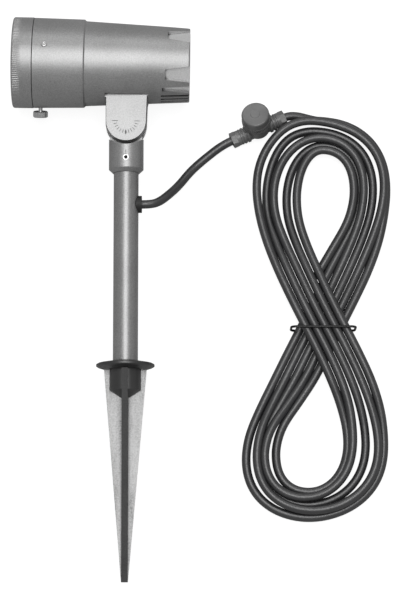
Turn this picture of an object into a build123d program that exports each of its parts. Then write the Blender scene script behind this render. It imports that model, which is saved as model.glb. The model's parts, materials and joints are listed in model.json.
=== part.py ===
from build123d import *
import math
import os

os.makedirs("parts", exist_ok=True)

# Garden spike spotlight, laid on a flat surface with its cord coiled beside it. Millimetres.
# The lamp is built in its own straight frame: X along the head, Y up the post, Z along the
# tilt axis, with the origin where the head's axis crosses the post's. place_lamp then lays it
# down, resting on the front ring and on the edge of the ground flange.

# ---------------------------------------------------------------- driving dimensions, lamp
head_front = -115.8        # front face of the front ring
ring_back = -95.1          # back face of the front ring
head_lean = 1.0            # degrees that the head's rear leans down from square to the post
ring_lip = 3.5             # thickness of the lip that holds the glass
ring_edge = 2.0            # rounding of the front edge
seam_gap = 0.6             # gap that shows between ring and barrel
barrel_radius = 45.6
ring_proud = 0.3           # how far the front ring stands out beyond the barrel
barrel_end_radius = 44.6
barrel_end = -42.3
barrel_chamfer = 1.4
nose_step = 3.6            # the threaded nose, which the front ring turns on, lies this far inside the barrel
nose_wall = 2.2
ring_cover = 3.5           # how far the front ring reaches in over the nose
spigot_step = 3.6          # wall of the housing round the barrel's spigot
spigot_wall = 3.0
spigot_length = 12.0
seal_height = 1.6
housing_radius = 43.0      # front of the tapered housing
housing_end_radius = 37.5
housing_end = 63.0
housing_wall = 4.0
back_wall = 6.0
back_edge = 1.2

recess_floor = 34.4        # distance of each rear recess's flat floor from the head's axis
# Each rear recess on the side that faces up: its middle's angle from +Z towards +Y, where it
# starts, and how far its two walls stand from its middle, at its front and at the head's end.
rear_recesses = [
    (82.0, 40.8, 5.6, 6.5, 9.4, 9.4),
    (39.5, 40.6, 6.5, 5.6, 9.8, 9.2),
    (-29.5, 38.6, 4.6, 6.2, 7.4, 9.3),
    (-54.0, 35.6, 2.4, 2.7, 4.1, 4.3),
    (-67.5, 34.4, 1.4, 1.4, 1.4, 1.4),
    (-76.5, 34.4, 1.4, 1.4, 1.4, 1.4),
    (-85.5, 34.4, 1.4, 1.4, 1.4, 1.4),
]
recess_length = 26.0       # the longest recess, which the housing's cavity ends before

glass_clearance = 0.4      # between the glass and the ring's bore
glass_thickness = 5.0
board_radius = 24.0
board_thickness = 1.6
chip_half = 1.7
chip_height = 1.4
chip_pitch = 8.0
plate_thickness = 8.0      # the heat plate behind the board
reflector_length = 40.0
reflector_clearance = 2.8  # between the reflector and the barrel's bore
reflector_end_radius = 15.0
reflector_wall = 1.4
reflector_rim = 2.0
driver_length = 44.0
driver_half_width = 24.0
driver_half_height = 14.0
block_length = 18.0        # the terminal block beside the driver
block_half_width = 10.0
block_height = 13.0
glass_gasket = 1.5
gasket_width = 2.0

fixing_angle = 10.6        # first of the three screws round the barrel, from +Z towards +Y
fixing_x = -82.7
fixing_hole = 2.1
fixing_head_radius = 3.0
fixing_head = 1.6
head_seat = 0.1            # how far the screw heads stand off the barrel's slope
thumbscrew_x = -88.2
thumbscrew_stem = 2.0
thumbscrew_shank = 3.4     # how far it shows under its knurled head
thumbscrew_head_radius = 7.5
thumbscrew_head = 6.4
flutes = 20                # round the thumbscrew's grip
flute_radius = 0.55
screw_socket = 1.5         # radius of the hexagon socket in the barrel's screws

tilt_y = -62.3             # tilt axis, below the head's axis
lug_half = 17.5            # half the thickness of the forked lug
lug_radius = 21.4
lug_top_half_width = 21.9
lug_top = -34.7            # level top edge of the lug's faces
lug_draft = 5.0            # degrees
slot_half = 7.7            # half the fork's slot
slot_top = -41.6
tongue_half = 6.5
tongue_radius = 19.0
washer_radius = 11.0
washer_gap = 0.1
bolt_radius = 4.0
bolt_head_radius = 6.5
bolt_head = 5.0
bolt_end_skin = 3.0        # metal left between the bolt's end and the lug's face
bolt_socket = 3.4
wire_hole = 4.6            # radius of the way from the housing down to the fork

collar_radius = 17.45
collar_bottom = -109.0
collar_chamfer = 3.8
collar_foot_radius = 13.4
saddle_radius = 23.6       # concave top of the collar, clear of the lug
tube_radius = 12.5
tube_bore = 10.5
tube_top = -93.0
running_fit = 0.05
grub_y = -99.3
grub_radius = 3.0
grub_length = 4.6
grub_gap = 0.15            # from the post to the grub screw's end
socket_size = 1.7          # radius of the hexagon socket

lead_y = -144.5            # height of the cord's exit from the post
cord_diameter = 8.8
grommet_radius = 8.6
grommet_length = 6.0
grommet_neck_radius = 7.0

flange_y = -308.0
flange_radius = 29.15
flange_rim_half = 1.85
flange_top = -303.5
flange_under = -312.3
flange_under_radius = 20.0
sleeve_radius = 15.8
sleeve_end = -333.0
sleeve_cone_end = -340.5
sleeve_tip_radius = 4.6
socket_floor = -328.0
tube_bottom = socket_floor + 2.0

blade_top_half = 21.2      # half the width of the spike under the flange
blade_taper_y = -412.0
blade_mid_half = 12.8
blade_tip_half = 3.4
spike_tip = -523.0
blade_thickness = 4.0      # the blade that lies flat
rib_thickness = 6.0        # the blade that stands on edge
blade_fit = 0.05

# ---------------------------------------------------------------- driving dimensions, cord
tee_x = 159.3
tee_y = 180.6
tee_angle = 24.5           # direction of the connector's run, from +X towards +Y
tee_lean = 17.0            # the stub leans over, about the run
tee_axis_height = 8.4
arm_radius = 7.3
arm_length = 21.0
hub_radius = 11.6
hub_length = 13.0
neck_radius = 10.8
tee_cap_radius = 14.2
tee_cap_top = 30.0
tee_cap_length = 16.0
cap_edge = 1.8
gland_nut_radius = 8.2
gland_nut_length = 5.4
gland_ring_radius = 7.9
gland_ring_length = 3.4
gland_fit = 0.02
lead_points = [            # where the lamp's cord runs down and on to the connector
    (58.5, 97.3, 35.0),
    (67.0, 105.3, 28.5),
    (78.0, 119.3, 14.0),
    (90.5, 137.3, 6.0),
    (105.5, 150.8, 5.6),
]
exit_straight = 9.0        # straight run out of the post's grommet
lead_straight = 10.0       # straight run where the lamp's cord enters the connector
supply_straight = 8.0      # the same for the supply cord

turns = 5.2                # figure-of-eight turns in the hank
middle_turn = 2.4          # the turn whose two lobes are alike
hank_x = 221.0
hank_y = -24.2
lobe_half_width = 46.0
lobe_width_step = 6.8      # how much each turn's lobe narrows
waist_step = 11.0          # how far apart the strands cross the waist
lobe_length = 181.0         # from the waist to the middle turn's end
lobe_longer = 9.0          # how much longer the upper lobe is than that, and the lower one shorter
lobe_length_step = 10.4
lobe_lean = 9.0
crossing_start = 0.62      # share of the lobe's length where the upper strands start to rise
crossing_top = 0.30
crossing_rise = 10.0       # how high the upper strands pass over the lower ones
knots_per_turn = 20
tie_wire = 2.4
tie_gap = 0.5
tie_bend = 5.0
cord_reach = 9.2           # from the outermost strand's middle to the tie's, where it slants
tie_y = -4.0
tie_lift_start = 0.36       # share of the lobe's length where the strands rise over the tie
tie_lift_end = 0.10
end_sleeve_length = 8.0

# ---------------------------------------------------------------- worked out from these
ring_radius = barrel_radius + ring_proud
nose_radius = barrel_radius - nose_step
ring_opening = nose_radius - ring_cover
barrel_bore = nose_radius - nose_wall
glass_radius = nose_radius - glass_clearance
reflector_radius = barrel_bore - reflector_clearance
thumbscrew_reach = barrel_radius + thumbscrew_shank
spigot_radius = housing_radius - spigot_step
cord_radius = cord_diameter / 2
nut_face = arm_length + gland_ring_length + gland_nut_length
grommet_start = tube_bore - 0.6
grommet_face = grommet_start + grommet_length
plate_start = barrel_end + spigot_length + seal_height

# ---------------------------------------------------------------- helpers
def rod(radius, length):
    """A cylinder that stands on the XY plane."""
    return Cylinder(radius, length, align=(Align.CENTER, Align.CENTER, Align.MIN))


def along_x(radius, start, end):
    """A cylinder on the head's axis."""
    return Pos(start, 0, 0) * Rot(0, 90, 0) * rod(radius, end - start)


def along_y(radius, start, end):
    """A cylinder on the post's axis, from start down to end."""
    return Pos(0, end, 0) * Rot(-90, 0, 0) * rod(radius, start - end)


def along_z(radius, y, start, end):
    """A cylinder parallel to the tilt axis."""
    return Pos(0, y, start) * rod(radius, end - start)


def cone_x(start_radius, end_radius, start, end):
    """A cone on the head's axis."""
    cone = Cone(start_radius, end_radius, end - start, align=(Align.CENTER, Align.CENTER, Align.MIN))
    return Pos(start, 0, 0) * Rot(0, 90, 0) * cone


def turned_y(points):
    """A solid turned about the post's axis from (radius, y) points."""
    outline = make_face(Polyline(*[(r, y, 0) for r, y in points], close=True))
    return revolve(outline, axis=Axis.Y)


def radial(angle):
    """Turns +Z to the radial direction at this angle round the head, from +Z towards +Y."""
    return Rot(-angle, 0, 0)


def box_between(low, high):
    """A box from its lowest to its highest corner."""
    size = [b - a for a, b in zip(low, high)]
    middle = [(a + b) / 2 for a, b in zip(low, high)]
    return Pos(*middle) * Box(*size)


def tube_along(points, radii, radius):
    """A round tube whose straight runs are joined by tangent arcs."""
    path = FilletPolyline(*points, radius=radii)
    section = Plane(origin=path @ 0, z_dir=path % 0) * Circle(radius)
    tube = sweep(section, path=path)
    expected = math.pi * radius ** 2 * path.length
    print("tube volume %.0f, section times length %.0f" % (tube.volume, expected))
    return tube


# ---------------------------------------------------------------- head
def front_ring():
    body = along_x(ring_radius, head_front, ring_back)
    body = fillet(body.edges().group_by(Axis.X)[0], ring_edge)
    bore = along_x(nose_radius + running_fit, head_front + ring_lip, ring_back)
    return body - bore - along_x(ring_opening, head_front, ring_back)


def front_gasket():
    start = head_front + ring_lip
    outer = along_x(glass_radius, start, start + glass_gasket)
    return outer - along_x(glass_radius - gasket_width, start, start + glass_gasket)


def front_glass():
    start = head_front + ring_lip + glass_gasket
    return along_x(glass_radius, start, start + glass_thickness)


def glass_back():
    return head_front + ring_lip + glass_gasket + glass_thickness


def front_barrel():
    nose = along_x(nose_radius, glass_back() + seam_gap, ring_back + seam_gap)
    shell = cone_x(barrel_radius, barrel_end_radius, ring_back + seam_gap, barrel_end)
    shell = chamfer(shell.edges().group_by(Axis.X)[-1], barrel_chamfer)
    spigot = along_x(spigot_radius, barrel_end, barrel_end + spigot_length)
    spigot_bore = spigot_radius - spigot_wall
    bore = along_x(barrel_bore, glass_back(), barrel_end - spigot_wall)
    body = nose + shell + spigot - bore - along_x(spigot_bore, glass_back(), barrel_end + spigot_length)
    for turn in range(3):
        x = thumbscrew_x if turn == 1 else fixing_x
        body -= Pos(x, 0, 0) * radial(fixing_angle - 120 * turn) * rod(fixing_hole, ring_radius + 1)
    return body


def barrel_surface(x):
    share = (x - ring_back - seam_gap) / (barrel_end - ring_back - seam_gap)
    return barrel_radius + share * (barrel_end_radius - barrel_radius)


def barrel_screws():
    screws = []
    for turn in (0, 2):
        top = barrel_surface(fixing_x) + head_seat
        stem_foot = nose_radius - 3
        stem = Pos(0, 0, stem_foot) * rod(fixing_hole - 0.1, top - stem_foot)
        head = Pos(0, 0, top) * rod(fixing_head_radius, fixing_head)
        head = fillet(head.edges().group_by(Axis.Z)[-1], 0.7)
        socket = Pos(0, 0, top + 0.5) * extrude(RegularPolygon(screw_socket, 6), 3)
        screws.append(Pos(fixing_x, 0, 0) * radial(fixing_angle - 120 * turn) * (stem + head - socket))
    return Compound(screws)


def thumbscrew():
    stem = Pos(0, 0, nose_radius - 3) * rod(thumbscrew_stem, thumbscrew_reach - nose_radius + 3)
    grip = Pos(0, 0, thumbscrew_reach) * rod(thumbscrew_head_radius, thumbscrew_head)
    grip = chamfer(grip.edges().filter_by(GeomType.CIRCLE), 0.9)
    for n in range(flutes):
        angle = 2 * math.pi * n / flutes
        x = thumbscrew_head_radius * math.cos(angle)
        y = thumbscrew_head_radius * math.sin(angle)
        grip -= Pos(x, y, thumbscrew_reach) * rod(flute_radius, thumbscrew_head)
    return Pos(thumbscrew_x, 0, 0) * radial(fixing_angle - 120) * (stem + grip)


def housing_surface(x):
    share = (x - barrel_end) / (housing_end - barrel_end)
    return housing_radius + share * (housing_end_radius - housing_radius)


def rear_recess(start, low_front, high_front, low_back, high_back):
    """One flat-bottomed recess, cut from the side that faces +Z."""
    end = housing_end + 1
    outline = make_face(Polyline((start, -low_front), (end, -low_back), (end, high_back),
                                 (start, high_front), close=True))
    return Pos(0, 0, recess_floor) * extrude(outline, housing_radius)


def lug_blank():
    """Both cheeks of the forked lug, before its slot."""
    low = tilt_y
    arc = ThreePointArc((lug_radius, low), (0, low - lug_radius), (-lug_radius, low))
    sides = Polyline((-lug_radius, low), (-lug_top_half_width, -36), (-lug_top_half_width, -20),
                     (lug_top_half_width, -20), (lug_top_half_width, -36), (lug_radius, low))
    outline = make_face(Curve() + arc + sides)
    front = extrude(outline, lug_half, taper=lug_draft)
    return front + mirror(front, Plane.XY)


def head_housing():
    outer = cone_x(housing_radius, housing_end_radius, barrel_end, housing_end)
    outer = fillet(outer.edges().group_by(Axis.X)[-1], back_edge)
    body = outer + lug_blank()
    for angle, *sizes in rear_recesses:
        recess = radial(angle) * rear_recess(*sizes)
        body -= recess
        body -= mirror(recess, Plane.XY)
    pocket = box_between((-lug_top_half_width, tilt_y, lug_half), (lug_top_half_width, lug_top, 60))
    body -= pocket
    body -= mirror(pocket, Plane.XY)
    body -= along_x(spigot_radius + running_fit, barrel_end, plate_start)
    cavity_end = housing_end - recess_length - 2.0
    cavity_front_radius = housing_surface(plate_start) - housing_wall
    cavity_end_radius = housing_surface(cavity_end) - housing_wall
    body -= cone_x(cavity_front_radius, cavity_end_radius, plate_start, cavity_end)
    body -= along_x(recess_floor - housing_wall, cavity_end, housing_end - back_wall)
    body -= box_between((-60, -110, -slot_half), (60, slot_top, slot_half))
    body -= along_z(bolt_radius, tilt_y, -lug_half, lug_half - bolt_end_skin)
    body -= along_z(bolt_head_radius + 0.3, tilt_y, -lug_half - 1, -lug_half + bolt_head + 0.3)
    body -= Pos(0, slot_top, 0) * Rot(90, 0, 0) * Cylinder(wire_hole, 30)
    return body


def hinge_bolt():
    head_end = -lug_half + bolt_head
    shank = along_z(bolt_radius - running_fit, tilt_y, head_end, lug_half - bolt_end_skin)
    head = along_z(bolt_head_radius, tilt_y, -lug_half, head_end)
    socket = Pos(0, tilt_y, -lug_half) * extrude(RegularPolygon(bolt_socket, 6), 3)
    return shank + head - socket


def hinge_washers():
    start = tongue_half + washer_gap
    end = slot_half - washer_gap
    one = along_z(washer_radius, tilt_y, start, end) - along_z(bolt_radius + 0.1, tilt_y, start, end)
    return Compound([one, mirror(one, Plane.XY)])


def housing_seal():
    start = barrel_end + spigot_length
    outer = along_x(spigot_radius - 0.1, start, start + seal_height)
    return outer - along_x(spigot_radius - spigot_wall, start, start + seal_height)


def heat_plate():
    back = plate_start + plate_thickness
    plate = along_x(housing_surface(back) - housing_wall - 0.2, plate_start, back)
    return plate - Pos(plate_start + plate_thickness / 2, 24, 0) * Rot(0, 90, 0) * Cylinder(4, 10)


def led_board():
    return along_x(board_radius, plate_start - board_thickness, plate_start)


def led_chips():
    """One chip in the middle and six round it."""
    board_front = plate_start - board_thickness
    chips = []
    for n in range(7):
        angle = 2 * math.pi * n / 6
        reach = 0 if n == 6 else chip_pitch
        y = reach * math.cos(angle)
        z = reach * math.sin(angle)
        low = (board_front - chip_height, y - chip_half, z - chip_half)
        high = (board_front, y + chip_half, z + chip_half)
        chips.append(box_between(low, high))
    return Compound(chips)


def reflector():
    end = plate_start - board_thickness
    start = end - reflector_length
    inner_radius = reflector_radius - reflector_wall
    outer = cone_x(reflector_radius, reflector_end_radius, start, end)
    inner = cone_x(inner_radius, reflector_end_radius - reflector_wall, start, end)
    rim = along_x(barrel_bore - 0.2, start - reflector_rim, start) - along_x(inner_radius, start - reflector_rim, start)
    return outer - inner + rim


def driver():
    start = plate_start + plate_thickness
    low = (start, -driver_half_height, -driver_half_width)
    high = (start + driver_length, driver_half_height, driver_half_width)
    case = box_between(low, high)
    return fillet(case.edges().filter_by(Axis.X), 2)


def terminal_block():
    start = plate_start + plate_thickness
    under = -driver_half_height - block_height
    low = (start, under, -block_half_width)
    high = (start + block_length, -driver_half_height, block_half_width)
    block = box_between(low, high)
    for z in (-6, 0, 6):
        block -= Pos(start + block_length / 2, under, z) * Rot(90, 0, 0) * Cylinder(1.8, 8)
    return block


# ---------------------------------------------------------------- post and spike
def post_collar():
    body = along_y(collar_radius, tilt_y, collar_bottom)
    foot_end = collar_bottom - collar_chamfer
    foot = turned_y([(0, collar_bottom), (collar_radius, collar_bottom),
                     (collar_foot_radius, foot_end), (0, foot_end)])
    body = body + foot - along_z(saddle_radius, tilt_y, -30, 30)
    neck_half = collar_radius - 1.5
    neck = box_between((-neck_half, collar_bottom + 20, -tongue_half), (neck_half, tilt_y, tongue_half))
    body = body + neck + along_z(tongue_radius, tilt_y, -tongue_half, tongue_half)
    body -= along_y(tube_radius + running_fit, tube_top, foot_end)
    body -= along_y(cord_radius + 0.4, tilt_y - 12, tube_top - 1)
    body -= along_z(bolt_radius + running_fit, tilt_y, -tongue_half, tongue_half)
    for side in (1, -1):
        hole = Pos(0, grub_y, side * (tube_radius + 4)) * Cylinder(grub_radius, 12)
        body -= hole
    return body


def collar_grubs():
    grubs = []
    for side in (1, -1):
        socket = Pos(0, 0, grub_length - 2.4) * extrude(RegularPolygon(socket_size, 6), 3)
        grub = rod(grub_radius - running_fit, grub_length) - socket
        turn = Rot(0, 0, 0) if side > 0 else Rot(0, 180, 0)
        grubs.append(Pos(0, grub_y, side * (tube_radius + grub_gap)) * turn * grub)
    return Compound(grubs)


def post_tube():
    body = along_y(tube_radius, tube_top, tube_bottom) - along_y(tube_bore, tube_top, tube_bottom)
    exit_hole = Pos(tube_radius, lead_y, 0) * Rot(0, 90, 0) * Cylinder(grommet_neck_radius, 8)
    return body - exit_hole


def cord_grommet():
    """Rubber grommet in the post's side, round where the cord leaves."""
    place = Pos(grommet_start, lead_y, 0) * Rot(0, 90, 0)
    neck = place * rod(grommet_neck_radius - 0.1, grommet_length)
    flange = place * rod(grommet_radius, grommet_length)
    flange -= along_y(tube_radius + 0.02, tube_top, tube_bottom)
    bore = Pos(0, lead_y, 0) * Rot(0, 90, 0) * Cylinder(cord_radius, 60)
    return neck + flange - bore


def post_lead():
    """The cord inside the post, from its exit up to the knuckle."""
    start = grommet_start
    points = [(start, lead_y, 0), (0, lead_y, 0), (0, tilt_y - 14, 0)]
    return tube_along(points, [start - 0.4], cord_radius - 0.2)


def ground_flange():
    rim = flange_radius - 1.6
    outline = [(0, flange_top), (tube_radius + 1, flange_top), (rim, flange_y + flange_rim_half),
               (flange_radius, flange_y + 0.9), (flange_radius, flange_y - 0.9),
               (rim, flange_y - flange_rim_half),
               (flange_under_radius, flange_under), (sleeve_radius, flange_under), (sleeve_radius, sleeve_end),
               (sleeve_tip_radius, sleeve_cone_end), (0, sleeve_cone_end)]
    body = turned_y(outline)
    return body - along_y(tube_radius + running_fit, flange_top, socket_floor)


def blade(thickness):
    """One flat blade of the spike, in the XY plane."""
    top = flange_under - 2 * blade_fit
    outline = make_face(Polyline((-blade_top_half, top), (blade_top_half, top),
                                 (blade_mid_half, blade_taper_y), (blade_tip_half, spike_tip),
                                 (-blade_tip_half, spike_tip), (-blade_mid_half, blade_taper_y), close=True))
    body = extrude(outline, thickness / 2, both=True)
    clear_radius = sleeve_radius + blade_fit
    clear_end = sleeve_cone_end - blade_fit
    clearance = turned_y([(0, flange_under + 2), (clear_radius, flange_under + 2), (clear_radius, sleeve_end),
                          (sleeve_tip_radius + blade_fit, clear_end), (0, clear_end)])
    return body - clearance


blade_lap = (sleeve_cone_end + spike_tip) / 2


def spike_blade():
    body = blade(blade_thickness)
    slot = rib_thickness / 2 + blade_fit
    return body - box_between((-slot, blade_lap, -5), (slot, sleeve_cone_end + 20, 5))


def spike_rib():
    body = Rot(0, 90, 0) * blade(rib_thickness)
    slot = blade_thickness / 2 + blade_fit
    return body - box_between((-5, spike_tip - 5, -slot), (5, blade_lap, slot))


# ---------------------------------------------------------------- laying the lamp down
flange_reach = abs(flange_y - 0.9)
head_place = Pos(0, tilt_y, 0) * Rot(0, 0, -head_lean) * Pos(0, -tilt_y, 0)
flange_slope = math.atan2(flange_radius, flange_reach)
ring_slope = math.asin(ring_radius / math.hypot(flange_reach, flange_radius))
lie_angle = math.degrees(ring_slope - flange_slope)
front_box = (head_place * front_ring()).bounding_box()
rear_box = (head_place * head_housing()).bounding_box()
lamp_x = -(front_box.min.X + rear_box.max.X) / 2
lie = math.radians(lie_angle)
tip_drop = -spike_tip * math.cos(lie) + blade_tip_half * math.sin(lie)
lamp_y = (tip_drop - ring_radius) / 2
place_lamp = Location((lamp_x, lamp_y, ring_radius), (lie_angle, 0, 0))


def laid(point):
    """Where a point of the lamp's own frame lies once the lamp is laid down."""
    x, y, z = point
    c = math.cos(lie)
    s = math.sin(lie)
    return (lamp_x + x, lamp_y + y * c - z * s, ring_radius + y * s + z * c)


# ---------------------------------------------------------------- connector on the cord
place_tee = Location((tee_x, tee_y, tee_axis_height), (0, 0, tee_angle)) * Rot(-tee_lean, 0, 0)
run_direction = (math.cos(math.radians(tee_angle)), math.sin(math.radians(tee_angle)), 0)


def on_run(distance):
    """A point on the connector's run, in the laid-out frame."""
    return (tee_x + distance * run_direction[0], tee_y + distance * run_direction[1], tee_axis_height)


def tee_body():
    arms = along_x(arm_radius, -arm_length, arm_length)
    hub = rod(hub_radius, hub_length)
    base = Sphere(arm_radius)
    wall = 2.2
    inside = Pos(0, 0, -4.0) * rod(hub_radius - wall, hub_length + 20)
    neck = rod(neck_radius, tee_cap_top - 4.0)
    return arms + hub + base + neck - inside - along_x(cord_radius + 0.5, -arm_length - 1, arm_length + 1)


def tee_cap():
    start = tee_cap_top - tee_cap_length
    cap = Pos(0, 0, start) * rod(tee_cap_radius, tee_cap_length)
    cap = fillet(cap.edges().group_by(Axis.Z)[-1], cap_edge)
    bore = Pos(0, 0, start) * rod(neck_radius + running_fit, tee_cap_length - 3.0)
    return cap - bore


def tee_seal():
    ring = rod(tee_cap_radius - 0.6, 0.9)
    ring -= Cylinder(neck_radius + 0.1, 3)
    return Pos(0, 0, hub_length) * ring


def gland_nuts():
    nuts = []
    for side in (-1, 1):
        nut = extrude(RegularPolygon(gland_nut_radius, 6), gland_nut_length)
        nut -= Cylinder(cord_radius + gland_fit, 40)
        nuts.append(Rot(0, 90 * side, 0) * Pos(0, 0, arm_length + gland_ring_length) * nut)
    return Compound(nuts)


def gland_rings():
    rings = []
    for side in (-1, 1):
        ring = rod(gland_ring_radius, gland_ring_length)
        ring -= Cylinder(cord_radius + gland_fit, 40)
        rings.append(Rot(0, 90 * side, 0) * Pos(0, 0, arm_length) * ring)
    return Compound(rings)


def tee_terminals():
    block = box_between((-6, -6, 4.9), (6, 6, 14))
    for x in (-4, 0, 4):
        block -= Pos(x, 0, 14) * Cylinder(1.3, 8)
    return block


# ---------------------------------------------------------------- cord
def lamp_cord():
    """The short lead from the post to the connector."""
    start = laid((grommet_face, lead_y, 0))
    end = on_run(-nut_face)
    out = laid((grommet_face + exit_straight, lead_y, 0))
    back = on_run(-nut_face - lead_straight)
    points = [start, out, *lead_points, back, end]
    return tube_along(points, corner_radii(points), cord_radius)


def corner_radii(points):
    """The largest arc that each corner's two runs leave room for."""
    radii = []
    for a, b, c in zip(points, points[1:], points[2:]):
        before = Vector(*b) - Vector(*a)
        after = Vector(*c) - Vector(*b)
        turn = math.radians(before.get_angle(after))
        radii.append(0.45 * min(before.length, after.length) / math.tan(turn / 2))
    print("corner radii", [round(r, 1) for r in radii])
    return radii


def hank_point(u):
    """A point of the hank after u turns, outermost above first."""
    angle = 2 * math.pi * u
    size = middle_turn - u
    c = math.cos(angle)
    s = math.sin(angle)
    x = (lobe_half_width + lobe_width_step * size * c) * math.sin(2 * angle)
    x += waist_step * size * s * math.sqrt(abs(s)) + lobe_lean * c ** 3
    y = (lobe_length + lobe_longer * c + lobe_length_step * size * c) * c
    z = cord_radius
    if 0.5 < u % 1 < 1:
        share = (crossing_start - abs(c)) / (crossing_start - crossing_top)
        share = min(max(share, 0), 1)
        z += crossing_rise * share * share * (3 - 2 * share)
    under = min(max((tie_lift_start - abs(c)) / (tie_lift_start - tie_lift_end), 0), 1)
    z += (tie_wire + tie_gap) * under * under * (3 - 2 * under)
    return Vector(hank_x + x, hank_y + y, z)


def hank_direction(u):
    return (hank_point(u + 0.0005) - hank_point(u - 0.0005)).normalized()


def biarc(start, start_way, end, end_way):
    """Two arcs that leave start and reach end along the given ways."""
    chord = end - start
    ways = start_way + end_way
    spread = 2 * (1 - start_way.dot(end_way))
    if spread < 1e-9:
        reach = chord.length / 2
    else:
        reach = (-chord.dot(ways) + math.sqrt(chord.dot(ways) ** 2 + spread * chord.dot(chord))) / spread
    first = start + start_way * reach
    second = end - end_way * reach
    joint = (first + second) / 2
    joint_way = (second - first).normalized()
    return [TangentArc(start, joint, tangent=start_way), TangentArc(joint, end, tangent=joint_way)]


def hank_path():
    count = round(turns * knots_per_turn)
    arcs = []
    for n in range(count):
        a = turns * n / count
        b = turns * (n + 1) / count
        arcs += biarc(hank_point(a), hank_direction(a), hank_point(b), hank_direction(b))
    return arcs


def least_gap(arcs, wire):
    """The least gap that the path leaves between one part of the tube and another."""
    per_arc = 6
    points = [arc @ (n / per_arc) for arc in arcs for n in range(per_arc)]
    reach = [0.0]
    for a, b in zip(points, points[1:]):
        reach.append(reach[-1] + (b - a).length)
    least = 1e9
    skip = wire * 3.5
    cells = {}
    for i, p in enumerate(points):
        cells.setdefault((int(p.X // 12), int(p.Y // 12)), []).append(i)
    for (cx, cy), members in cells.items():
        near = [j for dx in (-1, 0, 1) for dy in (-1, 0, 1) for j in cells.get((cx + dx, cy + dy), [])]
        for i in members:
            for j in near:
                if reach[j] - reach[i] > skip:
                    least = min(least, (points[i] - points[j]).length)
    return least - wire, reach[-1]


def supply_hank():
    arcs = hank_path()
    gap, length = least_gap(arcs, cord_diameter)
    tightest = min(arc.radius for arc in arcs if hasattr(arc, "radius"))
    print("hank: least gap to itself %.2f, length %.0f, tightest arc %.1f" % (gap, length, tightest))
    path = Wire(arcs)
    section = Plane(origin=path @ 0, z_dir=path % 0) * Circle(cord_radius)
    tube = sweep(section, path=path)
    expected = math.pi * cord_radius ** 2 * path.length
    print("hank: volume %.0f, section times length %.0f" % (tube.volume, expected))
    return tube


def supply_lead():
    """The supply cord's short run from the connector to the hank."""
    start = on_run(nut_face)
    end = tuple(hank_point(0))
    out = on_run(nut_face + supply_straight)
    back = tuple(hank_point(0) - hank_direction(0) * supply_straight)
    points = [start, out, back, end]
    return tube_along(points, corner_radii(points), cord_radius)


def cord_end_sleeve():
    """A shrunk-on sleeve that closes the cord's bare end."""
    end = hank_point(turns)
    way = hank_direction(turns)
    sleeve = Solid.make_cylinder(cord_radius, end_sleeve_length, Plane(origin=end, z_dir=way))
    return fillet(sleeve.edges().sort_by(lambda e: (e.center() - end).length)[-1], 1.0)


def hank_tie():
    """A wire tie round the waist, a flat loop of round wire."""
    left = -waist_step * (4.25 - middle_turn) - cord_reach
    right = waist_step * (4.75 - middle_turn) + cord_reach
    top = 2 * cord_radius + crossing_rise + tie_wire + 2 * tie_gap + tie_wire / 2
    low = tie_wire / 2
    loop = Plane.XZ * RectangleRounded(right - left, top - low, tie_bend)
    path = Pos(hank_x + (left + right) / 2, hank_y + tie_y, (top + low) / 2) * loop.wire()
    section = Plane(origin=path @ 0, z_dir=path % 0) * Circle(tie_wire / 2)
    return sweep(section, path=path)


head_nodes = {
    "front_ring": front_ring,
    "front_gasket": front_gasket,
    "front_glass": front_glass,
    "front_barrel": front_barrel,
    "barrel_screws": barrel_screws,
    "thumbscrew": thumbscrew,
    "head_housing": head_housing,
    "housing_seal": housing_seal,
    "heat_plate": heat_plate,
    "led_board": led_board,
    "led_chips": led_chips,
    "reflector": reflector,
    "driver": driver,
    "terminal_block": terminal_block,
    "hinge_bolt": hinge_bolt,
    "hinge_washers": hinge_washers,
}
post_nodes = {
    "post_collar": post_collar,
    "collar_grubs": collar_grubs,
    "post_tube": post_tube,
    "cord_grommet": cord_grommet,
    "post_lead": post_lead,
    "ground_flange": ground_flange,
    "spike_blade": spike_blade,
    "spike_rib": spike_rib,
}
tee_nodes = {
    "tee_body": tee_body,
    "tee_cap": tee_cap,
    "tee_seal": tee_seal,
    "gland_nuts": gland_nuts,
    "gland_rings": gland_rings,
    "tee_terminals": tee_terminals,
}
laid_nodes = {
    "lamp_cord": lamp_cord,
    "supply_lead": supply_lead,
    "supply_hank": supply_hank,
    "hank_tie": hank_tie,
    "cord_end_sleeve": cord_end_sleeve,
}

for name, make in head_nodes.items():
    export_step(place_lamp * head_place * make(), "parts/" + name + ".step")
for name, make in post_nodes.items():
    export_step(place_lamp * make(), "parts/" + name + ".step")
for name, make in tee_nodes.items():
    export_step(place_tee * make(), "parts/" + name + ".step")
for name, make in laid_nodes.items():
    export_step(make(), "parts/" + name + ".step")
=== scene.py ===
"""The looks of a garden spike spotlight, laid flat beside its coiled cord.

The scene is in metres. Numbers that are multiplied by MM are millimetres.
"""
import json
import math

import bmesh
import bpy
from mathutils import Matrix, Vector


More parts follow.
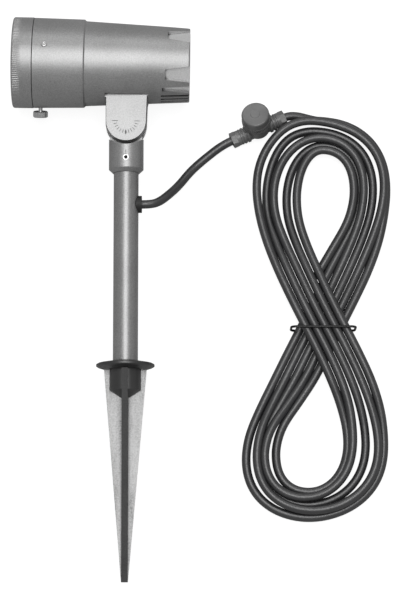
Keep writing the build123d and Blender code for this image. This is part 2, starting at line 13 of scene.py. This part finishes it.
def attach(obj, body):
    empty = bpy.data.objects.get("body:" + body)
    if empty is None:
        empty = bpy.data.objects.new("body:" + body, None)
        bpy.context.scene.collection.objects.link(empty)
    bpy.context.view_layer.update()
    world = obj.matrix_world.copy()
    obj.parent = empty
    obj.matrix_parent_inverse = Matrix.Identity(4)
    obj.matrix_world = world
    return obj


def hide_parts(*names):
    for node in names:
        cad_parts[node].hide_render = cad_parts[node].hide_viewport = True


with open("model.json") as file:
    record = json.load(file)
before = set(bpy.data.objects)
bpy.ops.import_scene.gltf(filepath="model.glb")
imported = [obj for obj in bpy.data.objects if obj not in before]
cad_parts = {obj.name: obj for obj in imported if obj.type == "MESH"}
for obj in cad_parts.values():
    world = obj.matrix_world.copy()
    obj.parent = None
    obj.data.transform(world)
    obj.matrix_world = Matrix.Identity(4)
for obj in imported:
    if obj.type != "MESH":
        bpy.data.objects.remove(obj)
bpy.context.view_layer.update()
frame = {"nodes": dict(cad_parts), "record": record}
nodes = frame["nodes"]
MM = 0.001

# ---------------------------------------------------------------- where the lamp lies
RING_RADIUS = 45.9
FLANGE_REACH = 308.9
FLANGE_RADIUS = 29.15
FLANGE_SLOPE = math.atan2(FLANGE_RADIUS, FLANGE_REACH)
LIE = math.asin(RING_RADIUS / math.hypot(FLANGE_REACH, FLANGE_RADIUS)) - FLANGE_SLOPE
LAMP_X = 25.3888            # where the origin of the lamp's own frame lies
LAMP_Y = 238.2557
LAMP = Matrix.Translation((LAMP_X * MM, LAMP_Y * MM, RING_RADIUS * MM)) @ Matrix.Rotation(LIE, 4, "X")
TILT_Y = -62.3
HEAD_LEAN = math.radians(1.0)
HEAD = (LAMP @ Matrix.Translation((0, TILT_Y * MM, 0)) @ Matrix.Rotation(-HEAD_LEAN, 4, "Z")
        @ Matrix.Translation((0, -TILT_Y * MM, 0)))
TEE_ANGLE = math.radians(24.5)
TEE_LEAN = math.radians(17.0)
TEE_PLACE = Matrix.Translation((0.1593, 0.1806, 0.0084)) @ Matrix.Rotation(TEE_ANGLE, 4, "Z")
TEE = TEE_PLACE @ Matrix.Rotation(-TEE_LEAN, 4, "X")


def laid(x, y, z):
    """Where a point of the lamp's own frame lies, in metres."""
    return LAMP @ Vector((x * MM, y * MM, z * MM))


# ---------------------------------------------------------------- materials
class Graph:
    """A short way to write a material's nodes."""

    def __init__(self, name):
        self.mat = bpy.data.materials.new(name)
        self.mat.use_nodes = True
        self.tree = self.mat.node_tree
        self.tree.nodes.clear()
        self.out = self.add("ShaderNodeOutputMaterial")

    def add(self, kind, inputs=None, **props):
        node = self.tree.nodes.new(kind)
        for key, value in props.items():
            setattr(node, key, value)
        for key, value in (inputs or {}).items():
            self.put(node.inputs[key], value)
        return node

    def put(self, socket, value):
        if isinstance(value, bpy.types.NodeSocket):
            self.tree.links.new(value, socket)
        else:
            socket.default_value = value

    def math(self, op, a, b=0.0):
        node = self.add("ShaderNodeMath", operation=op)
        for socket, value in zip(node.inputs, (a, b)):
            self.put(socket, value)
        return node.outputs[0]

    def coords(self, scale, place=None):
        """Object coordinates, in the frame of place if one is given, scaled."""
        where = self.add("ShaderNodeTexCoord").outputs["Object"]
        if place is not None:
            spot = place.to_translation()
            move = self.add("ShaderNodeVectorMath", {0: where, 1: tuple(spot)}, operation="SUBTRACT")
            spin = self.add("ShaderNodeMapping", {"Vector": move.outputs[0]}, vector_type="POINT")
            back = place.to_3x3().inverted().to_euler()
            spin.inputs["Rotation"].default_value = tuple(back)
            where = spin.outputs[0]
        grow = self.add("ShaderNodeVectorMath", {0: where, 1: tuple(scale)}, operation="MULTIPLY")
        return grow.outputs[0]

    def noise(self, where, scale=1.0, detail=2.0, rough=0.5):
        sockets = {"Vector": where, "Scale": scale, "Detail": detail, "Roughness": rough}
        return self.add("ShaderNodeTexNoise", sockets).outputs[0]

    def spread(self, value, low, high, start=0.0, end=1.0):
        """value from start to end, spread to low to high."""
        node = self.add("ShaderNodeMapRange", {0: value, 1: start, 2: end, 3: low, 4: high})
        return node.outputs[0]

    def ramp(self, value, stops):
        node = self.add("ShaderNodeValToRGB", {0: value})
        ramp = node.color_ramp
        while len(ramp.elements) < len(stops):
            ramp.elements.new(0.5)
        for element, (spot, colour) in zip(ramp.elements, stops):
            element.position = spot
            element.color = rgb(colour)
        return node.outputs[0]

    def bump(self, height, strength, distance):
        node = self.add("ShaderNodeBump", {"Height": height, "Strength": strength, "Distance": distance})
        return node.outputs[0]

    def finish(self, **sockets):
        shader = self.add("ShaderNodeBsdfPrincipled")
        for key, value in sockets.items():
            self.put(shader.inputs[key.replace("_", " ")], value)
        self.put(self.out.inputs[0], shader.outputs[0])
        return self.mat


def rgb(value):
    """A linear colour from a grey or a colour as it looks on screen."""
    if isinstance(value, (int, float)):
        value = (value, value, value)
    lin = [v / 12.92 if v <= 0.04045 else ((v + 0.055) / 1.055) ** 2.4 for v in value]
    return (*lin, 1.0)


def turned_metal(name, grey, roughness=0.34, along=(1400, 9, 9), place=LAMP, lines=0.25):
    """Satin metal with fine lines left by turning or drawing."""
    g = Graph(name)
    fine = g.noise(g.coords(along, place), 1.0, 3.0, 0.6)
    cloud = g.noise(g.coords((28, 28, 28)), 1.0, 4.0, 0.55)
    tone = g.math("ADD", g.math("MULTIPLY", fine, 0.35), g.math("MULTIPLY", cloud, 0.65))
    low = tuple(c - 0.05 for c in grey)
    high = tuple(c + 0.04 for c in grey)
    colour = g.ramp(tone, [(0.25, low), (0.75, high)])
    rough = g.spread(tone, roughness - 0.05, roughness + 0.07, 0.3, 0.7)
    normal = g.bump(fine, lines, 0.00004)
    return g.finish(Base_Color=colour, Metallic=1.0, Roughness=rough, Normal=normal)


# Where light and shade are painted on the rear recesses, in metres in the head's frame: a painted highlight
# on the floors of the wide recesses, and painted shade in the narrow grooves.
RECESS_REACH = 0.0362       # nearer than this to the head's axis
RECESS_START = 0.0335       # further back than this along it
GROOVES_BELOW = -0.0308     # the narrow grooves lie lower than this, the wide recesses higher


def powder_coat(name, grey, roughness=0.42, recesses=False):
    """Metallic powder coat with a sandy grain.

    With recesses, a painted highlight makes the floors of the wide rear recesses lighter, and painted shade
    makes the narrow grooves dark.
    """
    g = Graph(name)
    grain = g.noise(g.coords((850, 850, 850)), 1.0, 3.0, 0.7)
    cloud = g.noise(g.coords((26, 26, 26)), 1.0, 4.0, 0.55)
    tone = g.math("ADD", g.math("MULTIPLY", grain, 0.8), g.math("MULTIPLY", cloud, 0.2))
    low = tuple(c - 0.1 for c in grey)
    high = tuple(c + 0.08 for c in grey)
    colour = g.ramp(tone, [(0.3, low), (0.7, high)])
    if recesses:
        along, up, out = g.add("ShaderNodeSeparateXYZ", {0: g.coords((1, 1, 1), HEAD)}).outputs
        reach = g.math("SQRT", g.math("ADD", g.math("MULTIPLY", up, up), g.math("MULTIPLY", out, out)))
        floor = g.math("MULTIPLY", g.math("LESS_THAN", reach, RECESS_REACH),
                       g.math("GREATER_THAN", along, RECESS_START))
        wide = g.math("MULTIPLY", floor, g.math("GREATER_THAN", up, GROOVES_BELOW))
        narrow = g.math("SUBTRACT", floor, wide)
        # Painted highlight on the floors of the wide recesses, and painted shade in the narrow grooves.
        light = g.ramp(tone, [(0.3, 0.86), (0.7, 0.97)])
        colour = g.add("ShaderNodeMixRGB", {0: wide, 1: colour, 2: light}).outputs[0]
        colour = g.add("ShaderNodeMixRGB", {0: narrow, 1: colour, 2: rgb(0.2)}).outputs[0]
    # Painted shade: the colour darkens in creases and corners, by ambient occlusion.
    shade = g.add("ShaderNodeAmbientOcclusion", {"Distance": 0.004}, samples=8).outputs["AO"]
    depth = g.ramp(shade, [(0.3, 0.25), (0.75, 1.0)])
    colour = g.add("ShaderNodeMixRGB", {0: 1.0, 1: colour, 2: depth}, blend_type="MULTIPLY").outputs[0]
    rough = g.spread(grain, roughness - 0.05, roughness + 0.07, 0.3, 0.7)
    normal = g.bump(grain, 0.45, 0.00014)
    return g.finish(Base_Color=colour, Metallic=0.75, Roughness=rough, Normal=normal)


def plastic(name, grey, roughness=0.5, grain=900.0, depth=0.3, sheen=0.5):
    """Moulded plastic or rubber with a fine grain."""
    g = Graph(name)
    cloud = g.noise(g.coords((40, 40, 40)), 1.0, 3.0)
    fine = g.noise(g.coords((grain, grain, grain)), 1.0, 2.0)
    low = tuple(c * 0.88 for c in grey)
    high = tuple(min(1.0, c * 1.1) for c in grey)
    colour = g.ramp(cloud, [(0.3, low), (0.7, high)])
    rough = g.spread(fine, roughness - 0.06, roughness + 0.08, 0.3, 0.7)
    normal = g.bump(fine, depth, 0.00008)
    return g.finish(Base_Color=colour, Roughness=rough, Normal=normal, Specular_IOR_Level=sheen)


def grey(value, tint=(0.0, 0.0, 0.0)):
    return tuple(value + t for t in tint)


mats = {
    "satin_alu": powder_coat("satin_alu", grey(0.66)),
    "tube_alu": powder_coat("tube_alu", grey(0.64), 0.4),
    "screw_steel": turned_metal("screw_steel", grey(0.85), 0.25, (300, 300, 300)),
    "nickel": turned_metal("nickel", grey(0.84), 0.16, (200, 200, 200)),
    "seal_rubber": plastic("seal_rubber", grey(0.13), 0.55),
    "cast_plate": turned_metal("cast_plate", grey(0.7), 0.5, (300, 300, 300)),
    "board_white": plastic("board_white", grey(0.9), 0.4),
    "reflector_chrome": turned_metal("reflector_chrome", grey(0.92), 0.06, (60, 60, 60), LAMP, 0.02),
    "driver_case": plastic("driver_case", grey(0.2), 0.45),
    "terminal_plastic": plastic("terminal_plastic", grey(0.85), 0.4),
    "washer_plastic": plastic("washer_plastic", grey(0.12), 0.4),
    "cord_rubber": plastic("cord_rubber", grey(0.2, (0.0, 0.0, 0.005)), 0.36, 700.0, 0.25, 1.0),
    "flange_plastic": plastic("flange_plastic", grey(0.16), 0.36, 500.0, 0.4, 1.0),
    "tee_plastic": plastic("tee_plastic", grey(0.41), 0.36, 600.0, 0.35, 0.9),
    "tie_wire": plastic("tie_wire", grey(0.08), 0.4),
}


def lens_glass():
    g = Graph("lens")
    fine = g.noise(g.coords((60, 60, 60)), 1.0, 2.0)
    rough = g.spread(fine, 0.01, 0.03)
    return g.finish(Base_Color=rgb((0.95, 0.98, 0.97)), Roughness=rough, IOR=1.5, Transmission_Weight=1.0)


def phosphor():
    g = Graph("chip_yellow")
    fine = g.noise(g.coords((900, 900, 900)), 1.0, 2.0)
    colour = g.ramp(fine, [(0.3, (0.9, 0.72, 0.2)), (0.7, (0.98, 0.85, 0.35))])
    return g.finish(Base_Color=colour, Roughness=0.35)


def zinc():
    """Weathered galvanised steel, mottled, with painted shade on the blade that stands on edge and beside it.
    """
    g = Graph("spike_zinc")
    where = g.coords((1, 1, 1))
    cloud = g.noise(g.coords((90, 16, 90)), 1.0, 5.0, 0.65)
    speck = g.noise(where, 620.0, 3.0, 0.6)
    tone = g.math("ADD", g.math("MULTIPLY", cloud, 0.6), g.math("MULTIPLY", speck, 0.4))
    face = g.ramp(tone, [(0.36, 0.5), (0.47, 0.68), (0.6, 0.8)])
    edge = g.ramp(tone, [(0.3, 0.16), (0.7, 0.3)])
    # Painted shade: the blade that stands on edge is dark, and the faces beside it darken towards it.
    across = g.add("ShaderNodeSeparateXYZ", {0: where}).outputs[0]
    side = g.math("ABSOLUTE", g.math("SUBTRACT", across, LAMP_X * MM))
    near = g.spread(side, 1.0, 0.0, 0.0031, 0.0036)
    shade_beside_blade = g.spread(side, 0.35, 0.0, 0.003, 0.005)
    dark = g.math("MAXIMUM", near, shade_beside_blade)
    colour = g.add("ShaderNodeMixRGB", {0: dark, 1: face, 2: edge}).outputs[0]
    rough = g.spread(tone, 0.42, 0.6, 0.2, 0.7)
    normal = g.bump(tone, 0.25, 0.0002)
    return g.finish(Base_Color=colour, Metallic=0.55, Roughness=rough, Normal=normal)


mats["lens"] = lens_glass()
mats["chip_yellow"] = phosphor()
mats["spike_zinc"] = zinc()

for part in frame["record"]["subparts"]:
    thing = nodes[part["node"]]
    thing.data.materials.clear()
    thing.data.materials.append(mats[part["material_slot"]])
nodes["head_housing"].data.materials[0] = powder_coat("housing_coat", grey(0.66), recesses=True)


# ---------------------------------------------------------------- details on the lamp
def solid(name, place, verts, faces, slot, body, mat=None):
    """A piece of mesh in the frame that place gives, in millimetres, that rides on a body."""
    mesh = bpy.data.meshes.new(name)
    mesh.from_pydata([place @ (Vector(v) * MM) for v in verts], [], faces)
    mesh.materials.append(mat or mats[slot])
    bm = bmesh.new()
    bm.from_mesh(mesh)
    bmesh.ops.recalc_face_normals(bm, faces=bm.faces)
    bm.to_mesh(mesh)
    bm.free()
    thing = bpy.data.objects.new(name, mesh)
    bpy.context.scene.collection.objects.link(thing)
    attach(thing, body)
    return thing


def bar_mesh(spots):
    """Flat plates, each given by its outline in the XY plane, its base and its height."""
    verts = []
    faces = []
    for outline, base, height in spots:
        first = len(verts)
        count = len(outline)
        verts += [(x, y, base) for x, y in outline] + [(x, y, base + height) for x, y in outline]
        faces.append([first + n for n in range(count)])
        faces.append([first + count + n for n in range(count)])
        for n in range(count):
            other = (n + 1) % count
            faces.append([first + n, first + other, first + count + other, first + count + n])
    return verts, faces


def ribbed_turning(profile, ribs, depth):
    """A closed profile of (place along X, radius, share of the ribs' depth) turned about X."""
    steps = ribs * 4
    verts = []
    for along, radius, share in profile:
        for n in range(steps):
            turn = 2 * math.pi * n / steps
            r = radius - (share * depth if n % 4 in (1, 2) else 0.0)
            verts.append((along, r * math.cos(turn), r * math.sin(turn)))
    faces = []
    rows = len(profile)
    for row in range(rows):
        for n in range(steps):
            other = (n + 1) % steps
            after = (row + 1) % rows
            faces.append([row * steps + n, row * steps + other, after * steps + other, after * steps + n])
    return verts, faces


HEAD_FRONT = -115.8
RING_EDGE = 2.0             # radius of the rounding at the front
RING_LENGTH = 20.7
RING_BORE = 42.05
RING_OPENING = 38.5         # radius
RING_LIP = 3.5              # thickness of the lip round the opening
OPENING_CHAMFER = 0.5
BACK_CHAMFER = 0.4
RIBS_FADE = 6.0             # behind the front face, where the ribs start to run out
RIBS_END = 9.5
ring_profile = [(RING_LENGTH, RING_BORE, 0), (RING_LIP, RING_BORE, 0), (RING_LIP, RING_OPENING, 0),
                (OPENING_CHAMFER, RING_OPENING, 0), (0.0, RING_OPENING + OPENING_CHAMFER, 0)]
for n in range(6):
    turn = math.radians(18 * n)
    rim_radius = RING_RADIUS - RING_EDGE * (1 - math.sin(turn))
    ring_profile.append((RING_EDGE * (1 - math.cos(turn)), rim_radius, n / 5))
ring_profile += [(RIBS_FADE, RING_RADIUS, 1), (RIBS_END, RING_RADIUS, 0),
                 (RING_LENGTH - BACK_CHAMFER, RING_RADIUS, 0), (RING_LENGTH, RING_RADIUS - BACK_CHAMFER, 0)]
ring_profile = [(HEAD_FRONT + along, radius, share) for along, radius, share in ring_profile]
RING_RIBS = 144
RIB_DEPTH = 0.3
ring = solid("ribbed_ring", HEAD, *ribbed_turning(ring_profile, RING_RIBS, RIB_DEPTH), "satin_alu",
             "lens_ring")
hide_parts("front_ring")

# The connector: a band of ribs round its cap's skirt, a raised disc on top, and stepped collars on its arms.
UPRIGHT = TEE @ Matrix.Rotation(math.radians(-90), 4, "Y")
band = [(15.0, 14.0, 0), (15.0, 14.6, 0), (15.5, 14.9, 1), (20.5, 14.9, 1), (21.0, 14.6, 0), (21.0, 14.0, 0)]
solid("cap_band", UPRIGHT, *ribbed_turning(band, 44, 0.7), "tee_plastic", "connector_cap")
disc = [(30.3, 0.01, 0), (30.3, 4.6, 0), (30.0, 4.9, 0), (29.5, 4.9, 0), (29.5, 0.01, 0)]
solid("cap_disc", UPRIGHT, *ribbed_turning(disc, 12, 0.0), "tee_plastic", "connector_cap")
for number, (place, radius, wide) in enumerate([(-12.5, 8.6, 1.5), (-16.5, 8.4, 1.2), (-19.6, 8.2, 0.9),
                                                (12.5, 8.6, 1.5), (16.5, 8.4, 1.2), (19.6, 8.2, 0.9)]):
    step = [(place - wide, 7.0, 0), (place - wide, radius - 0.4, 0), (place - wide + 0.4, radius, 0),
            (place + wide - 0.4, radius, 0), (place + wide, radius - 0.4, 0), (place + wide, 7.0, 0)]
    solid("arm_step_%d" % number, TEE_PLACE, *ribbed_turning(step, 12, 0.0), "tee_plastic", "post")

# The scale on the lug: marks round its lower half, and a pointer in the middle one's place.
PLATE = 0.22                # thickness of a mark
SUNK = 0.2                  # how deep it lies in the face
LUG_FACE = 17.5
MARKS = 13
MARK_STEP = 15              # degrees
LONG_MARK = (8.0, 14.2)     # radius of its two ends; the first and the last mark are long
SHORT_MARK = (9.2, 12.8)
MARK_WIDTH = 0.6
marks = []
for n in range(MARKS):
    turn = math.radians(180 + MARK_STEP * n)
    if n == MARKS // 2:
        continue
    near, far = LONG_MARK if n in (0, MARKS - 1) else SHORT_MARK
    ux, uy = math.cos(turn), math.sin(turn)
    half = MARK_WIDTH / 2
    outline = [(near * ux - half * uy, near * uy + half * ux), (far * ux - half * uy, far * uy + half * ux),
               (far * ux + half * uy, far * uy - half * ux), (near * ux + half * uy, near * uy - half * ux)]
    marks.append(([(x, TILT_Y + y) for x, y in outline], LUG_FACE - SUNK, PLATE))
pointer = [(0, -8.6), (1.1, -11.4), (0, -14.4), (-1.1, -11.4)]
marks.append(([(x, TILT_Y + y) for x, y in pointer], LUG_FACE - SUNK, PLATE))
engraved = plastic("engraved", grey(0.42), 0.6)
solid("tilt_scale", HEAD, *bar_mesh(marks), "satin_alu", "head", engraved)

COLLAR_FACE = 17.45
LINE_DEPTH = 0.3            # its top is level with the highest line of the collar
line = [(-0.3, -91.8), (0.3, -91.8), (0.3, -97.0), (-0.3, -97.0)]
solid("index_line", LAMP, *bar_mesh([(line, COLLAR_FACE - LINE_DEPTH, LINE_DEPTH)]), "satin_alu",
      "knuckle", engraved)

GRUB_Y = -99.3
GRUB_END = 17.25
SOCKET = 2.2                # from its middle to a corner
RIM_RADIUS = 2.85
RIM_WIRE = 0.42             # radius of the rim's own section
RIM_HEIGHT = 17.0
# Painted shade: a flat dark hexagon, sunk in the screw's end, stands for the shade in its socket.
hexagon = [(SOCKET * math.cos(math.radians(60 * n)), GRUB_Y + SOCKET * math.sin(math.radians(60 * n)))
           for n in range(6)]
solid("grub_socket", LAMP, *bar_mesh([(hexagon, GRUB_END - SUNK, PLATE)]), "satin_alu", "knuckle",
      plastic("socket_painted_shade", grey(0.05), 0.7))


def rim_mesh(radius, wire, height, y):
    """A thin raised rim round a hole that faces up."""
    verts = []
    faces = []
    around = 40
    section = 8
    for n in range(around):
        a = 2 * math.pi * n / around
        for k in range(section):
            b = 2 * math.pi * k / section
            r = radius + wire * math.cos(b)
            verts.append((r * math.cos(a), y + r * math.sin(a), height + wire * math.sin(b)))
    for n in range(around):
        for k in range(section):
            after = (n + 1) % around
            other = (k + 1) % section
            faces.append([n * section + k, after * section + k, after * section + other, n * section + other])
    return verts, faces


rim = solid("grub_rim", LAMP, *rim_mesh(RIM_RADIUS, RIM_WIRE, RIM_HEIGHT, GRUB_Y), "nickel", "knuckle")
for face in rim.data.polygons:
    face.use_smooth = True


# ---------------------------------------------------------------- cords
CORD = 0.0088


def smooth_cord(name, points, material):
    """A round cord along one smooth spline through the room that its points give."""
    line = bpy.data.curves.new(name, "CURVE")
    line.dimensions = "3D"
    line.bevel_depth = CORD / 2
    line.bevel_resolution = 5
    line.resolution_u = 6
    line.use_fill_caps = True
    spline = line.splines.new("NURBS")
    spline.points.add(len(points) - 1)
    for spot, place in zip(spline.points, points):
        spot.co = (*place, 1.0)
    spline.order_u = 3
    spline.use_endpoint_u = True
    line.materials.append(material)
    thing = bpy.data.objects.new(name, line)
    bpy.context.scene.collection.objects.link(thing)
    return thing


def on_run(distance):
    """A point on the connector's run."""
    return TEE_PLACE @ Vector((distance * MM, 0, 0))


# The hank, a figure of eight. A strand's size is how many steps it lies outside the middle turn's
# strand in the upper lobe; in the lower lobe it lies that many inside it. Strands pass into each
# other in places, most of all between the waist and the lobes, where their middles come as near
# as 6.7 for a cord of 8.8.
TURNS = 5.2
MIDDLE_TURN = 2.4      # where the size is 0
HANK = (221.0, -24.2)  # its waist, in the scene
OUTERMOST = 2.35       # size of the strand that the others are drawn to, negative in the lower lobe
TIGHTER_ENDS = 0.38    # share by which the strands lie closer at the lobes' ends
# The same at the lobes' sides, by (in the upper lobe, on the right).
TIGHTER_SIDES = {(True, False): 0.05, (True, True): 0.36, (False, False): 0.28, (False, True): 0.17}
LAYER = 7.5            # how much higher every other turn lies in the lobes
WANDER = {1: 0.4, 3: -0.3}      # by turn, how many steps two of the higher ones stray
# Turns at which the loops beside the connector are moved, and how far in x, y and z.
HUMPS = [(0.90, -6.0, 2.0, 0.0), (0.955, -2.0, 10.0, 3.0), (1.95, -3.0, 6.0, 0.0)]
HUMP_LENGTH = 0.045    # in turns
LEFT = 4.5             # how far left of the flat coil's place the lobes lie
HALF_WIDTH = 46.0      # of the middle turn's lobes
WIDTH_STEP = 6.8       # between neighbouring turns at the lobes' sides
WAIST_STEP = 9.9       # the same at the waist
LENGTH_STEP = 10.4     # the same at the lobes' ends
LEAN = 9.0             # how far right the upper lobe's end lies, and how far left the lower one's
LENGTH = 181.0         # from the waist to the end of the middle turn's lobes, on average
LONGER = 9.0           # how much longer than that the upper lobe is, and the lower one shorter
FLAT = 4.4             # height of the middle of a cord that lies on the ground
CROSSING_RISE = 10.0   # how high the strands that run upwards pass over the others at the waist
TIE_RISE = 2.9         # how high all strands rise over the tie's wire
# Each change sets in at a share of the lobe's length and takes another share to be complete.
BUNDLE_START, BUNDLE_LENGTH = 0.32, 0.35
CROSSING_START, CROSSING_LENGTH = 0.62, 0.32
TIE_START, TIE_LENGTH = 0.36, 0.26


def smooth(value):
    share = min(max(value, 0), 1)
    return share * share * (3 - 2 * share)


def hank_point(u):
    """A point of the hank after u turns, in metres."""
    angle = 2 * math.pi * u
    c = math.cos(angle)
    s = math.sin(angle)
    bundled = smooth((abs(c) - BUNDLE_START) / BUNDLE_LENGTH)
    layer = math.floor(u + 0.25)
    size = MIDDLE_TURN - u
    outward = bundled * (math.copysign(OUTERMOST, c) - size)
    stray = WANDER.get(layer, 0.0) * bundled * math.sin(2 * angle)
    end_size = size + TIGHTER_ENDS * outward + stray
    size += TIGHTER_SIDES[(c > 0, c * s > 0)] * outward + stray
    x = (HALF_WIDTH + WIDTH_STEP * size * c) * math.sin(2 * angle)
    x += WAIST_STEP * size * s * math.sqrt(abs(s)) + LEAN * c ** 3 - LEFT * bundled
    y = (LENGTH + LONGER * c + LENGTH_STEP * end_size * c) * c
    z = FLAT + LAYER * bundled * (layer % 2)
    for turn, dx, dy, dz in HUMPS:
        share = math.exp(-((u - turn) / HUMP_LENGTH) ** 2)
        x += dx * share
        y += dy * share
        z += dz * share
    if 0.5 < u % 1 < 1:
        z += CROSSING_RISE * smooth((CROSSING_START - abs(c)) / CROSSING_LENGTH)
    z += TIE_RISE * smooth((TIE_START - abs(c)) / TIE_LENGTH)
    return Vector(((HANK[0] + x) * MM, (HANK[1] + y) * MM, z * MM))


GROMMET_FACE = 15.9
LEAD_Y = -144.5
lead_exit = laid(GROMMET_FACE, LEAD_Y, 0)
lead_points = [
    lead_exit,
    laid(GROMMET_FACE + 9.0, LEAD_Y, 0),
    (0.0585, 0.0973, 0.0350),
    (0.0670, 0.1053, 0.0285),
    (0.0780, 0.1193, 0.0140),
    (0.0905, 0.1373, 0.0060),
    (0.1055, 0.1508, 0.0056),
    on_run(-39.8),
    on_run(-29.8),
]
lead = smooth_cord("lamp_lead", lead_points, mats["cord_rubber"])
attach(lead, "post")
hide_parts("lamp_cord")

start = hank_point(0)
way = (hank_point(0.0005) - hank_point(-0.0005)).normalized()
supply_points = [on_run(29.8), on_run(37.8), start - way * 0.008]
KNOTS = 40             # in each turn
count = round(TURNS * KNOTS)
supply_points += [hank_point(TURNS * n / count) for n in range(count + 1)]
supply = smooth_cord("supply_cord", supply_points, mats["cord_rubber"])
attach(supply, "post")
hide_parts("supply_lead", "supply_hank")

# ---------------------------------------------------------------- stage
bpy.context.scene.view_settings.view_transform = "Standard"


def white_where_seen(tree, seen, lit):
    """Mixes two shaders: seen by the camera and through the glass, lit for the rest."""
    path = tree.nodes.new("ShaderNodeLightPath")
    either = tree.nodes.new("ShaderNodeMath")
    either.operation = "MAXIMUM"
    tree.links.new(path.outputs["Is Camera Ray"], either.inputs[0])
    tree.links.new(path.outputs["Is Transmission Ray"], either.inputs[1])
    mix = tree.nodes.new("ShaderNodeMixShader")
    tree.links.new(either.outputs[0], mix.inputs[0])
    tree.links.new(lit, mix.inputs[1])
    tree.links.new(seen, mix.inputs[2])
    return mix.outputs[0]


world = bpy.data.worlds.new("studio")
bpy.context.scene.world = world
world.use_nodes = True
tree = world.node_tree
tree.nodes.clear()
out = tree.nodes.new("ShaderNodeOutputWorld")
seen = tree.nodes.new("ShaderNodeBackground")
seen.inputs["Color"].default_value = (1, 1, 1, 1)
seen.inputs["Strength"].default_value = 1.0
lit = tree.nodes.new("ShaderNodeBackground")
lit.inputs["Color"].default_value = (1, 1, 1, 1)
lit.inputs["Strength"].default_value = 0.35
tree.links.new(white_where_seen(tree, seen.outputs[0], lit.outputs[0]), out.inputs[0])

mesh = bpy.data.meshes.new("floor")
bm = bmesh.new()
bmesh.ops.create_grid(bm, x_segments=1, y_segments=1, size=3.0)
bm.to_mesh(mesh)
bm.free()
floor = bpy.data.objects.new("floor", mesh)
bpy.context.scene.collection.objects.link(floor)
floor.location = (0.1, 0, -0.0002)
g = Graph("floor_paper")
glow = g.add("ShaderNodeEmission", {"Color": (1, 1, 1, 1), "Strength": 0.88})
paper = g.add("ShaderNodeBsdfDiffuse", {"Color": (0.3, 0.3, 0.3, 1)})
both = g.add("ShaderNodeAddShader", {0: glow.outputs[0], 1: paper.outputs[0]})
plain = g.add("ShaderNodeBsdfDiffuse", {"Color": (0.42, 0.42, 0.42, 1)})
g.put(g.out.inputs[0], white_where_seen(g.tree, both.outputs[0], plain.outputs[0]))
floor.data.materials.append(g.mat)


def softbox(name, place, look, size, power):
    light = bpy.data.lights.new(name, "AREA")
    light.shape = "RECTANGLE"
    light.size, light.size_y = size
    light.energy = power
    thing = bpy.data.objects.new(name, light)
    thing.location = place
    thing.rotation_euler = (Vector(look) - Vector(place)).to_track_quat("-Z", "Y").to_euler()
    bpy.context.scene.collection.objects.link(thing)


softbox("key", (0.1, 0.3, 3.6), (0.1, 0.0, 0.0), (2.0, 2.6), 60.0)
softbox("fill", (0.1, 2.2, 1.6), (0.1, 0.0, 0.0), (2.4, 0.8), 8.0)

camera = bpy.data.objects.new("camera", bpy.data.cameras.new("camera"))
bpy.context.scene.collection.objects.link(camera)
bpy.context.scene.camera = camera
TILT = math.radians(12.0)      # off straight above
DISTANCE = 2.735
SENSOR = 36.0
FOCAL = 2700.0                 # in the picture's pixels
PICTURE_HEIGHT = 600.0
camera.location = (0.10179, 0.00377 - DISTANCE * math.sin(TILT), DISTANCE * math.cos(TILT))
camera.rotation_euler = (TILT, 0, 0)
camera.data.sensor_width = SENSOR
camera.data.lens = FOCAL / PICTURE_HEIGHT * SENSOR
camera.data.clip_end = 20.0
